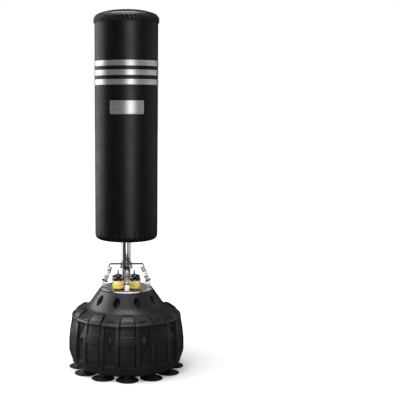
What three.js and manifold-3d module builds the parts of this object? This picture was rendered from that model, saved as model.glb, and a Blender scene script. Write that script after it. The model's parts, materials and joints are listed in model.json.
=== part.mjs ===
// A free-standing boxing bag, in millimetres, with +Z up and the origin on the floor under its centre.
// A hollow moulded base stands on suction cups and holds the ballast. Its top plate carries a sprung head of
// four TPU buffers and four slanted coil springs, and the head carries the post, the pole and the padded bag.
import * as THREE from "three";
import { mergeVertices } from "three/addons/utils/BufferGeometryUtils.js";
import Module from "manifold-3d";

const wasm = await Module();
wasm.setup();

// ---- Driving dimensions ----
const TURN = 2 * Math.PI;
const FRONT = -Math.PI / 2; // the way that the front faces, as an angle from +X
const TOTAL_HEIGHT = 1750;
const GAP = 0.3; // clearance between pieces that touch
const WALL = 5.5; // of the moulded base

const BASE_RADIUS = 285;
const BASE_BOTTOM = 22; // the underside of the base, held clear of the floor by the cups
const NECK_RADIUS = 133;
const PLATE_BOTTOM = 393; // where the base plate lies on the neck
const PANEL_COUNT = 10; // panels round the base
const CUP_COUNT = 12;
const CUP_RING = 232; // from the axis to the middle of a cup
const CUP_RADIUS = 52;
const STEM_RADIUS = 8; // of a cup's stem, pressed into the base

const PLATE_RADIUS = 128;
const PLATE_FLOOR = PLATE_BOTTOM + 6;
const BUFFER_OFFSET = 40; // a buffer's middle, along X and along Y
const BUFFER_RADIUS = 30.5;
const BUFFER_TOP = 444;
const HEAD_THICKNESS = 6; // of the head plate that lies on the buffers
const SPRING_FOOT = { r: 107, z: 433 }; // the lower end of a spring's axis
const SPRING_TOP = { r: 78, z: 503.5 }; // the upper end, under an arm of the spider
const SPRING_RADIUS = 13;
const SPRING_WIRE = 4.4;
const SPRING_TURNS = 6;

const POST_RADIUS = 24;
const POST_TOP = 760;
const COLLAR = { radius: 30, bottom: 497, top: 516 };
const POLE_RADIUS = 25.7;
const POLE_WALL = 1.4;
const POLE_TOP = 1690;
const BUTTON_HEIGHT = 568;
const BUTTON_RADIUS = 4.7;

const BAG_RADIUS = 153;
const BAG_BOTTOM = 643;
const BAG_CORNER = 25; // the rounded edge round the bottom
const COVER_WALL = 2.5;
const COVER_TOP = 1704;
const LINER_RADIUS = 32;
const FOAM_RADIUS = 110;
const RIM = { radius: 158, bottom: 1686, top: 1713 };
const STRIPE = { count: 3, width: 26, pitch: 44, top: 1505, thickness: 1 };
const PATCH = { width: 164, bottom: 1253, top: 1318, thickness: 1.5 };

const springDrop = SPRING_TOP.z - SPRING_FOOT.z;
const springReach = SPRING_FOOT.r - SPRING_TOP.r;
const springLength = Math.hypot(springDrop, springReach);
const springTilt = Math.atan2(springReach, springDrop); // from upright, leaning in at the top
const headTop = BUFFER_TOP + HEAD_THICKNESS;
const coverInside = BAG_RADIUS - COVER_WALL;
const poleInside = POLE_RADIUS - POLE_WALL;
const postInside = POST_RADIUS - 3;

// ---- Shapes ----

// A solid of revolution about Z. The outline's [radius, height] points run from underneath, up the outside.
function turned(outline, segments) {
  const points = outline.map(([r, z]) => new THREE.Vector2(r, z));
  return new THREE.LatheGeometry(points, segments).rotateX(Math.PI / 2);
}

// A ring about Z: the outline's last point goes back to its first.
function turnedRing(outline, segments) {
  return turned([...outline, outline[0]], segments);
}

function tube(inner, outer, bottom, top, segments) {
  return turnedRing([[inner, bottom], [outer, bottom], [outer, top], [inner, top]], segments);
}

function rod(radius, bottom, top, segments) {
  return turned([[0, bottom], [radius, bottom], [radius, top], [0, top]], segments);
}

// A bar whose outline stands in the XZ plane, centred on Y.
function bar(outline, width) {
  const shape = new THREE.Shape(outline.map(([x, z]) => new THREE.Vector2(x, z)));
  const geometry = new THREE.ExtrudeGeometry(shape, { depth: width, bevelEnabled: false });
  return geometry.translate(0, 0, -width / 2).rotateX(Math.PI / 2);
}

// ---- Joining and cutting ----

function solid(geometry) {
  const bare = geometry.index ? geometry.toNonIndexed() : geometry.clone();
  bare.deleteAttribute("normal");
  bare.deleteAttribute("uv");
  const merged = mergeVertices(bare, 1e-3);
  const { array } = merged.index;
  const corners = [];
  for (let i = 0; i < array.length; i += 3) {
    const [a, b, c] = array.slice(i, i + 3);
    if (a !== b && b !== c && c !== a) corners.push(a, b, c);
  }
  return new wasm.Manifold(
    new wasm.Mesh({
      numProp: 3,
      vertProperties: merged.attributes.position.array,
      triVerts: new Uint32Array(corners),
    }),
  );
}

function geometryOf(manifold) {
  const { vertProperties, triVerts } = manifold.getMesh();
  const geometry = new THREE.BufferGeometry();
  geometry.setAttribute("position", new THREE.BufferAttribute(vertProperties, 3));
  geometry.setIndex(new THREE.BufferAttribute(triVerts, 1));
  geometry.computeVertexNormals();
  return geometry;
}

function joined(...geometries) {
  return geometryOf(geometries.map(solid).reduce((whole, piece) => whole.add(piece)));
}

function cut(geometry, ...tools) {
  return geometryOf(tools.map(solid).reduce((rest, tool) => rest.subtract(tool), solid(geometry)));
}

// ---- Materials ----
const finish = (color, roughness, metalness) =>
  new THREE.MeshStandardMaterial({ color, roughness, metalness });

const mouldedPlastic = finish(0x26272b, 0.5, 0);
const clearPlastic = finish(0x9fb4bd, 0.2, 0);
const whitePlastic = finish(0xc9c9c6, 0.6, 0);
const cupRubber = finish(0x141415, 0.6, 0);
const amberTpu = finish(0xe2ab2c, 0.3, 0);
const chrome = finish(0xd5d7db, 0.12, 1);
const darkSteel = finish(0x4b4853, 0.25, 1);
const plywood = finish(0xb48a5a, 0.7, 0);
const foam = finish(0xa7aab0, 0.9, 0);
const textile = finish(0x77736d, 0.95, 0);
const blackLeather = finish(0x151516, 0.4, 0);
const silverFabric = finish(0xa9abb0, 0.35, 0.4);

const bag = new THREE.Group();

function add(name, geometry, material, parent = bag) {
  const mesh = new THREE.Mesh(geometry, material);
  mesh.name = name;
  parent.add(mesh);
  return mesh;
}

// A group turned about the axis, for the pieces that repeat round it.
function spoke(angle) {
  const group = new THREE.Group();
  group.rotation.z = angle;
  bag.add(group);
  return group;
}

// ---- Base ----

const baseTop = PLATE_BOTTOM - GAP;

function baseOutside() {
  return [
    [0, BASE_BOTTOM],
    [248, BASE_BOTTOM],
    [260, 29],
    [268, 45],
    [278, 75],
    [BASE_RADIUS, 91],
    [BASE_RADIUS, 152],
    [280, 198],
    [275, 228],
    [267, 256],
    [252, 273],
    [200, 310],
    [168, 335],
    [148, 362],
    [NECK_RADIUS, baseTop],
    [0, baseTop],
  ];
}

// The hollow keeps inside every panel of the outside by about the wall.
function baseHollow() {
  return [
    [0, BASE_BOTTOM + WALL],
    [245, BASE_BOTTOM + WALL],
    [262, 50],
    [278, 92],
    [278, 150],
    [260, 252],
    [194, 304],
    [160, 332],
    [NECK_RADIUS - WALL, baseTop - WALL],
    [0, baseTop - WALL],
  ];
}

// A four-sided pyramid that points at the axis, to sink a diamond into the drum.
function diamond(faceRadius, angle) {
  const depth = 25;
  const pyramid = new THREE.ConeGeometry(1, 1, 4).scale(46, depth, 52).rotateZ(Math.PI / 2);
  return pyramid.translate(faceRadius - depth / 2, 0, 166).rotateZ(angle);
}

// A raised tread block on the shoulder.
function treadBlock(angle) {
  const outline = [[240, 262], [262, 263], [262, 273], [249, 289], [231, 304], [214, 306], [198, 300]];
  return bar(outline, 80).rotateZ(angle);
}

// The filler neck stands square to the conical neck of the base, at the back.
const filler = { r: 160, z: 346, tilt: 0.86, radius: 31, bore: 22 };

function placeFiller(geometry) {
  return geometry.rotateY(filler.tilt).translate(filler.r, 0, filler.z).rotateZ(Math.PI / 2);
}

function baseShell() {
  const panelAngle = TURN / PANEL_COUNT;
  let shell = solid(turned(baseOutside(), 40));
  let hollow = solid(turned(baseHollow(), 20));
  for (let i = 0; i < PANEL_COUNT; i++) {
    const blockAngle = FRONT + i * panelAngle;
    const diamondAngle = blockAngle + panelAngle / 2;
    shell = shell.add(solid(treadBlock(blockAngle))).subtract(solid(diamond(BASE_RADIUS + 2, diamondAngle)));
    hollow = hollow.subtract(solid(diamond(BASE_RADIUS + 2 - WALL, diamondAngle)));
  }
  shell = shell.add(solid(placeFiller(rod(filler.radius, -14, 6, 24)))).subtract(hollow);
  shell = shell.subtract(solid(placeFiller(rod(filler.bore, -60, 10, 20))));
  for (let i = 0; i < CUP_COUNT; i++) {
    const angle = FRONT + (i * TURN) / CUP_COUNT;
    const boss = rod(15, BASE_BOTTOM + 1, 43, 8).translate(CUP_RING, 0, 0).rotateZ(angle);
    const pocket = rod(STEM_RADIUS + 1, 0, 38, 8).translate(CUP_RING, 0, 0).rotateZ(angle);
    shell = shell.add(solid(boss)).subtract(solid(pocket));
  }
  return geometryOf(shell);
}

// The ballast fills the hollow from above the cup bosses to the drum's shoulder.
function ballast() {
  return turned([[0, 43.5], [244, 43.5], [251, 90], [251, 240], [236, 262], [190, 292], [0, 292]], 20);
}

function suctionCup() {
  const under = [[0, 11], [34, 7], [45, 0]];
  const outside = [[CUP_RADIUS, 0], [CUP_RADIUS, 2.5], [38, 11], [18, BASE_BOTTOM - GAP]];
  const stem = [[STEM_RADIUS, BASE_BOTTOM - GAP], [STEM_RADIUS, 37.5], [0, 37.5]];
  return turned([...under, ...outside, ...stem], 12);
}

function fillerGasket() {
  return placeFiller(tube(filler.bore + 0.5, 29, 6 + GAP, 9, 20));
}

// The cap has a plug that fills the bore and a bar to grip.
function fillerCap() {
  const plug = filler.bore - 0.8;
  const outline = [[0, -7], [plug, -7], [plug, 9 + GAP], [30, 9 + GAP], [30, 15], [0, 15]];
  const grip = new THREE.BoxGeometry(12, 52, 9).translate(0, 0, 18);
  return placeFiller(joined(turned(outline, 20), grip));
}

function basePlate() {
  const rim = PLATE_RADIUS;
  return turned(
    [
      [0, PLATE_BOTTOM],
      [rim - 2, PLATE_BOTTOM],
      [rim, PLATE_BOTTOM + 2],
      [rim, PLATE_FLOOR + 3],
      [rim - 2, PLATE_FLOOR + 4.5],
      [rim - 5, PLATE_FLOOR + 3],
      [rim - 7, PLATE_FLOOR],
      [0, PLATE_FLOOR],
    ],
    40,
  );
}

add("base_shell", baseShell(), mouldedPlastic);
add("ballast_water", ballast(), clearPlastic);
add("filler_gasket", fillerGasket(), cupRubber);
add("filler_cap", fillerCap(), mouldedPlastic);
add("base_plate", basePlate(), chrome);
for (let i = 0; i < CUP_COUNT; i++) {
  const group = spoke(FRONT + (i * TURN) / CUP_COUNT);
  const cup = add(`suction_cup_${String(i + 1).padStart(2, "0")}`, suctionCup(), cupRubber, group);
  cup.position.x = CUP_RING;
}

// ---- Sprung head ----

function buffer() {
  const r = BUFFER_RADIUS;
  const foot = PLATE_FLOOR + GAP;
  const top = BUFFER_TOP - GAP;
  const washer = [[0, foot], [20, foot], [20, foot + 5]];
  const block = [[r - 1.5, foot + 6], [r, foot + 12], [r, top - 6], [r - 1.5, top], [0, top]];
  return turned([...washer, ...block], 14);
}

// The dished washer on top of a buffer, with the end of its stud.
function bufferCap() {
  const foot = headTop + GAP;
  const dish = [[0, foot], [29, foot], [28, foot + 3], [16, foot + 10], [9, foot + 15]];
  const stud = [[5, foot + 16], [5, foot + 28], [0, foot + 30]];
  return turned([...dish, ...stud], 10);
}

// The head plate: a hub with a round lobe over each buffer.
function headPlate() {
  const disc = (radius) => rod(radius, BUFFER_TOP, headTop, 16);
  const lobe = () => disc(BUFFER_RADIUS + 0.5).translate(BUFFER_OFFSET * Math.SQRT2, 0, 0);
  const lobes = [1, 3, 5, 7].map((eighth) => lobe().rotateZ((eighth * TURN) / 8));
  return joined(disc(46), ...lobes);
}

// The collar round the post with four arms. Each arm's end is cut square to its spring.
function springSpider() {
  const { radius, bottom, top } = COLLAR;
  const slope = Math.tan(springTilt);
  const seatHeight = (r) => SPRING_TOP.z + (r - SPRING_TOP.r) * slope;
  const seatStart = SPRING_TOP.r - (SPRING_TOP.z - bottom - 2) / slope;
  const outline = [
    [radius - 2, bottom + 2],
    [seatStart, bottom + 2],
    [87, seatHeight(87)],
    [84, 512],
    [80, 515],
    [75, top],
    [radius - 2, top],
  ];
  const collar = tube(POST_RADIUS + GAP, radius, bottom, top, 24);
  const arms = [0, 1, 2, 3].map((quarter) => bar(outline, 15).rotateZ((quarter * TURN) / 4));
  return joined(collar, ...arms);
}

class Helix extends THREE.Curve {
  constructor(radius, bottom, top, turns) {
    super();
    Object.assign(this, { radius, bottom, top, turns });
  }
  getPoint(t, target = new THREE.Vector3()) {
    const angle = t * this.turns * TURN;
    const z = this.bottom + t * (this.top - this.bottom);
    return target.set(this.radius * Math.cos(angle), this.radius * Math.sin(angle), z);
  }
}

// The spring and its two seats, along the local Z axis, with the origin at the foot of the spring.
const SEAT_THICKNESS = 3;
const SPIGOT_RADIUS = 7.8;
const SPIGOT_LENGTH = 15;

function coilSpring() {
  const clear = SEAT_THICKNESS + 2 * GAP + SPRING_WIRE / 2 + 0.4;
  const path = new Helix(SPRING_RADIUS - SPRING_WIRE / 2, clear, springLength - clear, SPRING_TURNS);
  const wire = new THREE.Shape().absarc(0, 0, SPRING_WIRE / 2, 0, TURN);
  return new THREE.ExtrudeGeometry(wire, { steps: SPRING_TURNS * 8, curveSegments: 3, extrudePath: path });
}

function seat(radius) {
  const face = SEAT_THICKNESS + GAP;
  const end = face + SPIGOT_LENGTH;
  const washer = [[0, GAP], [radius, GAP], [radius, face]];
  const spigot = [[SPIGOT_RADIUS, face], [SPIGOT_RADIUS, end - 3], [4, end], [0, end]];
  return turned([...washer, ...spigot], 10);
}

// The bracket under a spring: a foot on the base plate, an upright and a top cut square to the spring.
function springBracket() {
  const slope = Math.tan(springTilt);
  const top = (r) => SPRING_FOOT.z + (r - SPRING_FOOT.r) * slope - GAP;
  const thickness = 4;
  const foot = PLATE_FLOOR + GAP;
  const inner = 96;
  const outer = 119.5;
  return bar(
    [
      [inner, foot],
      [outer, foot],
      [outer, top(outer)],
      [inner, top(inner)],
      [inner, top(inner) - thickness],
      [outer - thickness, top(outer - thickness) - thickness],
      [outer - thickness, foot + thickness],
      [inner, foot + thickness],
    ],
    22,
  );
}

add("head_plate", headPlate(), darkSteel);
add("spring_spider", springSpider(), chrome);
for (let i = 0; i < 4; i++) {
  const diagonal = spoke(FRONT + TURN / 8 + (i * TURN) / 4);
  const bufferMesh = add(`tpu_buffer_${i + 1}`, buffer(), amberTpu, diagonal);
  const capMesh = add(`buffer_cap_${i + 1}`, bufferCap(), darkSteel, diagonal);
  bufferMesh.position.x = BUFFER_OFFSET * Math.SQRT2;
  capMesh.position.x = BUFFER_OFFSET * Math.SQRT2;

  const square = spoke(FRONT + (i * TURN) / 4);
  add(`spring_bracket_${i + 1}`, springBracket(), chrome, square);
  const leaning = new THREE.Group();
  leaning.position.set(SPRING_FOOT.r, 0, SPRING_FOOT.z);
  leaning.rotation.y = -springTilt;
  square.add(leaning);
  add(`lower_spring_seat_${i + 1}`, seat(18), chrome, leaning);
  add(`coil_spring_${i + 1}`, coilSpring(), chrome, leaning);
  const upperSeat = add(`upper_spring_seat_${i + 1}`, seat(12.5), chrome, leaning);
  upperSeat.rotation.x = Math.PI;
  upperSeat.position.z = springLength;
}

// ---- Post, pole and lock ----

// A short rod along Y for the lock button and its hole, at the front of the pole.
function buttonRod(radius, front, back) {
  return rod(radius, -back, -front, 10).rotateX(Math.PI / 2).translate(0, 0, BUTTON_HEIGHT);
}

function buttonHole() {
  return buttonRod(BUTTON_RADIUS + GAP, -POLE_RADIUS - 5, -postInside + 6);
}

function lockButton() {
  const stem = buttonRod(BUTTON_RADIUS, -POLE_RADIUS - 3, -18);
  const flange = buttonRod(7.5, -19.2, -17.2);
  return joined(stem, flange);
}

// A hairpin of flat spring steel behind the button, inside the post.
function buttonSpring() {
  const high = BUTTON_HEIGHT + 9;
  const low = BUTTON_HEIGHT - 46;
  const outside = [[-16.8, high], [-1, low], [1, low], [19, high]];
  const inside = [[17.8, high], [0, low + 2.5], [-15.6, high]];
  return bar([...outside, ...inside], 11).rotateZ(Math.PI / 2);
}

function poleEndCap() {
  const plug = poleInside - GAP;
  return turned(
    [
      [0, POLE_TOP - 14],
      [plug, POLE_TOP - 14],
      [plug, POLE_TOP + GAP],
      [26, POLE_TOP + GAP],
      [26, POLE_TOP + 6],
      [0, POLE_TOP + 6],
    ],
    16,
  );
}

add("inner_post", cut(tube(postInside, POST_RADIUS, headTop + GAP, POST_TOP, 24), buttonHole()), chrome);
add("pole_tube", cut(tube(poleInside, POLE_RADIUS, COLLAR.top + GAP, POLE_TOP, 24), buttonHole()), chrome);
add("lock_button", lockButton(), chrome);
add("button_spring", buttonSpring(), darkSteel);
add("pole_end_cap", poleEndCap(), whitePlastic);

// ---- Bag ----
const LOOSE = 0.8; // room that soft layers keep between them
const BAG_SEGMENTS = 40;
const boardTop = BAG_BOTTOM + 13;
const linerInside = POLE_RADIUS + 0.6;

// The cover is a tube with a rounded bottom edge and a hole for the pole.
function cover() {
  const corner = (radius, steps) =>
    Array.from({ length: steps + 1 }, (_, i) => {
      const angle = (i / steps) * (Math.PI / 2);
      const middle = BAG_RADIUS - BAG_CORNER;
      return [middle + radius * Math.sin(angle), BAG_BOTTOM + BAG_CORNER - radius * Math.cos(angle)];
    });
  const outside = corner(BAG_CORNER, 3);
  const inside = corner(BAG_CORNER - COVER_WALL, 3).reverse();
  return turnedRing(
    [
      [linerInside, BAG_BOTTOM],
      ...outside,
      [BAG_RADIUS, COVER_TOP],
      [coverInside, COVER_TOP],
      ...inside,
      [linerInside, BAG_BOTTOM + COVER_WALL],
    ],
    BAG_SEGMENTS,
  );
}

function paddedTop() {
  const foot = COVER_TOP + GAP;
  return turned(
    [
      [0, foot],
      [BAG_RADIUS, foot],
      [BAG_RADIUS, 1715],
      [150, 1720],
      [144, 1725],
      [122, 1734],
      [84, 1743],
      [0, TOTAL_HEIGHT],
    ],
    BAG_SEGMENTS,
  );
}

// The textile fill follows the rounded bottom of the cover.
function textileFill() {
  const outer = coverInside - LOOSE;
  const inner = FOAM_RADIUS + LOOSE;
  const foot = boardTop + LOOSE;
  const underside = [[inner, foot], [outer - 5, foot], [outer, foot + 13]];
  return turnedRing([...underside, [outer, COVER_TOP], [inner, COVER_TOP]], BAG_SEGMENTS);
}

// A plate bent round the front of the bag.
function namePatch() {
  const half = Math.asin(PATCH.width / 2 / BAG_RADIUS);
  const inner = BAG_RADIUS + 2 * GAP;
  const shape = new THREE.Shape();
  shape.absarc(0, 0, inner + PATCH.thickness, FRONT - half, FRONT + half, false);
  shape.absarc(0, 0, inner, FRONT + half, FRONT - half, true);
  const depth = PATCH.top - PATCH.bottom;
  const geometry = new THREE.ExtrudeGeometry(shape, { depth, bevelEnabled: false, curveSegments: 8 });
  return geometry.translate(0, 0, PATCH.bottom);
}

add("bottom_board", tube(linerInside, 126, BAG_BOTTOM + COVER_WALL + GAP, boardTop, 24), plywood);
add("core_liner", tube(linerInside, LINER_RADIUS, boardTop + GAP, POLE_TOP, 20), whitePlastic);
add("foam_core", tube(LINER_RADIUS + LOOSE, FOAM_RADIUS, boardTop + GAP, COVER_TOP, 24), foam);
add("textile_fill", textileFill(), textile);
add("bag_cover", cover(), blackLeather);
add("padded_top", paddedTop(), blackLeather);
add("rim_band", tube(BAG_RADIUS + GAP + 0.1, RIM.radius, RIM.bottom, RIM.top, BAG_SEGMENTS), blackLeather);
for (let i = 0; i < STRIPE.count; i++) {
  const top = STRIPE.top - i * STRIPE.pitch;
  const inner = BAG_RADIUS + GAP;
  const stripe = tube(inner, inner + STRIPE.thickness, top - STRIPE.width, top, BAG_SEGMENTS);
  add(`stripe_${i + 1}`, stripe, silverFabric);
}
add("name_patch", namePatch(), silverFabric);

export default bag;
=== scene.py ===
"""The looks of a free-standing boxing bag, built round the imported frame. Shapes are given in millimetres."""

import json
import math

import bpy
import numpy as np
from mathutils import Matrix, Vector


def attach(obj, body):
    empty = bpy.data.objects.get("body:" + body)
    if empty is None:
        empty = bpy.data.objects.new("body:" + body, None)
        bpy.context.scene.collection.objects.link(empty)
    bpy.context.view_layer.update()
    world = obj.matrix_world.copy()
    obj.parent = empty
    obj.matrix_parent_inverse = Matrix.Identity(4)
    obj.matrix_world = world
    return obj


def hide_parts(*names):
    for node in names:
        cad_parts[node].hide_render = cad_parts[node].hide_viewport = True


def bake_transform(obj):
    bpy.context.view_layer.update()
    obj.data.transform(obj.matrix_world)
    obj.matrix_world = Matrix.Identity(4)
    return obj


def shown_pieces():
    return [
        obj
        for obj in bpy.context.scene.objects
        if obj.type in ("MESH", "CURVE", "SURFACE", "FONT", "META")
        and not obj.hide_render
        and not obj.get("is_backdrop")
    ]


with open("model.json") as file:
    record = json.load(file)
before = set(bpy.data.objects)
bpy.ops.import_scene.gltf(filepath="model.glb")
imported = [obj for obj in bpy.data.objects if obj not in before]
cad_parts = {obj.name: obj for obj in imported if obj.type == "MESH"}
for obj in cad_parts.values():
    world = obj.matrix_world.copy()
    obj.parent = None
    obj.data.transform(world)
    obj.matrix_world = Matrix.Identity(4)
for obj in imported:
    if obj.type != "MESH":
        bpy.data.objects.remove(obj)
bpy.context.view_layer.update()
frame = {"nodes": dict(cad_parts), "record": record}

MM = 0.001
TURN = 2 * math.pi
FRONT = -math.pi / 2  # the way that the front faces, as an angle from +X

# ---- Driving dimensions ----
PANELS = 10
CUPS = 12
CUP_RING = 230
PLATE_FLOOR = 399
BUFFER_RING = 40 * math.sqrt(2)
BUFFER_RADIUS = 30.5
BUFFER_FOOT = PLATE_FLOOR + 0.3
BUFFER_TOP = 443.7
HEAD_TOP = 450
SPRING_FOOT = (107, 433)
SPRING_TOP = (78, 503.5)
SPRING_COIL = 10.8  # from the spring's axis to the middle of its wire
SPRING_WIRE = 2.2
SPRING_TURNS = 6
POST_RADIUS = 24
POLE_RADIUS = 25.7
BUTTON_HEIGHT = 568
BAG_RADIUS = 153
BAG_BOTTOM = 643
BAG_CORNER = 25
COVER_TOP = 1704
STRIPE_WIDTH = 26
STRIPE_TOPS = (1505, 1461, 1417)
PATCH_LOW, PATCH_HIGH, PATCH_HALF = 1253, 1318, 82
FILLER = {"r": 160, "z": 346, "tilt": 0.86}

SPRING_TILT = math.atan2(SPRING_FOOT[0] - SPRING_TOP[0], SPRING_TOP[1] - SPRING_FOOT[1])
SPRING_LENGTH = math.dist(SPRING_FOOT, SPRING_TOP)

# ---- Camera ----
FOCAL_PIXELS = 860
PICTURE = 400
SENSOR_WIDTH = 36
CAMERA_DISTANCE = 4.189
CAMERA_HEIGHT = 1.282
CAMERA_PITCH = math.radians(6.106)
CAMERA_TURN = math.radians(-1.2)  # round the bag, to the left of its front
CAMERA_SHIFT = 0.1841  # as a share of the picture's width: the bag stands left of the middle


def make_camera():
    data = bpy.data.cameras.new("camera")
    data.sensor_width = SENSOR_WIDTH
    data.lens = FOCAL_PIXELS / PICTURE * SENSOR_WIDTH
    data.shift_x = CAMERA_SHIFT
    camera = bpy.data.objects.new("camera", data)
    bpy.context.scene.collection.objects.link(camera)
    x = CAMERA_DISTANCE * math.sin(CAMERA_TURN)
    y = -CAMERA_DISTANCE * math.cos(CAMERA_TURN)
    camera.location = (x, y, CAMERA_HEIGHT)
    camera.rotation_euler = (math.pi / 2 - CAMERA_PITCH, 0, CAMERA_TURN)
    bpy.context.scene.camera = camera


make_camera()


# ---- Mesh helpers ----


def step(value, start, end):
    """0 before start, 1 after end, and smooth between them."""
    t = np.clip((value - start) / (end - start), 0, 1)
    return t * t * (3 - 2 * t)


def plateau(value, start, full, fading, end):
    """0 up to start, 1 from full to fading, and 0 again after end."""
    return step(value, start, full) * (1 - step(value, fading, end))


def spin(angle, r=0.0, z=0.0):
    """A move out to radius r and height z, turned about the axis."""
    return Matrix.Rotation(angle, 4, "Z") @ Matrix.Translation((r, 0, z))


def rounded(outline, radius, ring=False, steps=4):
    """The outline with each corner rounded, by up to the radius."""
    points = [np.array(p, float) for p in outline]
    count = len(points)
    made = []
    for i, corner in enumerate(points):
        if not ring and i in (0, count - 1):
            made.append(corner)
            continue
        before = points[i - 1] - corner
        after = points[(i + 1) % count] - corner
        room = 0.45 * min(np.linalg.norm(before), np.linalg.norm(after))
        reach = min(radius, room)
        start = corner + before / np.linalg.norm(before) * reach
        end = corner + after / np.linalg.norm(after) * reach
        for t in np.linspace(0, 1, steps + 1):
            made.append((1 - t) ** 2 * start + 2 * t * (1 - t) * corner + t * t * end)
    return [tuple(p) for p in made]


def tube_ring(inner, outer, low, high, bevel):
    """The section of a tube or a washer, with its edges rounded."""
    return rounded([(inner, low), (outer, low), (outer, high), (inner, high)], bevel, ring=True)


def bridge(rings, count, wrap=False):
    """The faces between rings of so many points. With wrap, the last ring meets the first."""
    faces = []
    for ring in range(rings if wrap else rings - 1):
        low, high = ring * count, (ring + 1) % rings * count
        for i in range(count):
            j = (i + 1) % count
            faces.append((low + i, low + j, high + j, high + i))
    return faces


def closed(points, count):
    """A solid from rings of points, with a flat face over each end."""
    floor, roof = tuple(reversed(range(count))), tuple(range(len(points) - count, len(points)))
    return points, [floor, *bridge(len(points) // count, count), roof]


def revolve(outline, segments, ring=False):
    """A solid of revolution. Its outline runs up the outside from underneath. A ring's closes on itself."""
    inner = outline if ring else outline[1:-1]
    angles = np.linspace(0, TURN, segments, endpoint=False) + FRONT
    points = [(r * math.cos(a), r * math.sin(a), z) for r, z in inner for a in angles]
    faces = bridge(len(inner), segments, wrap=ring)
    if not ring:
        foot, head, last = len(points), len(points) + 1, len(points) - segments
        points += [(0, 0, outline[0][1]), (0, 0, outline[-1][1])]
        for i in range(segments):
            j = (i + 1) % segments
            faces += [(foot, j, i), (head, last + i, last + j)]
    return points, faces


def extrude(outline, low, high, bevel):
    """A prism on an outline in XY that runs anticlockwise, with bevelled edges at both ends."""
    outline = np.array(outline, float)
    tangent = np.roll(outline, -1, 0) - np.roll(outline, 1, 0)
    tangent /= np.linalg.norm(tangent, axis=1)[:, None]
    inward = np.stack([-tangent[:, 1], tangent[:, 0]], 1)
    points = []
    for inset, z in ((bevel, low), (0, low + bevel), (0, high - bevel), (bevel, high)):
        points += [(x, y, z) for x, y in outline + inward * inset]
    return closed(points, len(outline))


def bar(outline, width, bevel):
    """A bar whose outline stands in XZ, anticlockwise from the front, centred on Y."""
    points, faces = extrude(outline, -width / 2, width / 2, bevel)
    return [(x, -z, y) for x, y, z in points], faces


def tube(path, radius, sides, square_to=(0, 0, 1)):
    """A round wire along a path that never runs the way of square_to, closed at both ends."""
    path = np.array(path, float)
    tangent = np.gradient(path, axis=0)
    tangent /= np.linalg.norm(tangent, axis=1)[:, None]
    side = np.cross(tangent, square_to)
    side /= np.linalg.norm(side, axis=1)[:, None]
    other = np.cross(tangent, side)
    angles = np.linspace(0, TURN, sides, endpoint=False)
    points = []
    for p, s, o in zip(path, side, other):
        points += [tuple(p + radius * (math.cos(a) * s + math.sin(a) * o)) for a in angles]
    return closed(points, sides)


def moved(part, matrix):
    points, faces = part
    return [tuple(matrix @ Vector(p)) for p in points], faces


def together(*parts):
    points, faces = [], []
    for more_points, more_faces in parts:
        start = len(points)
        points += list(more_points)
        faces += [tuple(start + i for i in face) for face in more_faces]
    return points, faces


def make(name, part, finish, sharp=32):
    """An object from a part in millimetres, smooth except at edges sharper than the angle in degrees."""
    points, faces = part
    mesh = bpy.data.meshes.new(name)
    mesh.from_pydata((np.array(points, float) * MM).tolist(), [], faces)
    mesh.validate()
    mesh.shade_smooth()
    mesh.set_sharp_from_angle(angle=math.radians(sharp))
    mesh.materials.append(MATERIALS[finish])
    piece = bpy.data.objects.new(name, mesh)
    bpy.context.scene.collection.objects.link(piece)
    return piece


def place(piece, body, slot, *nodes):
    """The piece rides on the body and stands for the CAD nodes, which it hides. The slot is not used."""
    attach(piece, body)
    if nodes:
        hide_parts(*nodes)


def add(name, part, finish, body, slot, *nodes, sharp=32):
    """A piece made and placed in one go."""
    piece = make(name, part, finish, sharp)
    place(piece, body, slot, *nodes)
    return piece


def stretch(piece, slot, node, first, second, start, end):
    """The piece stands for the CAD node, which it hides, and its placing is baked into its points. The slot,
    the two bodies and the start and end, in millimetres, are not used.
    """
    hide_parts(node)
    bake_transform(piece)


# ---- Materials ----


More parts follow.
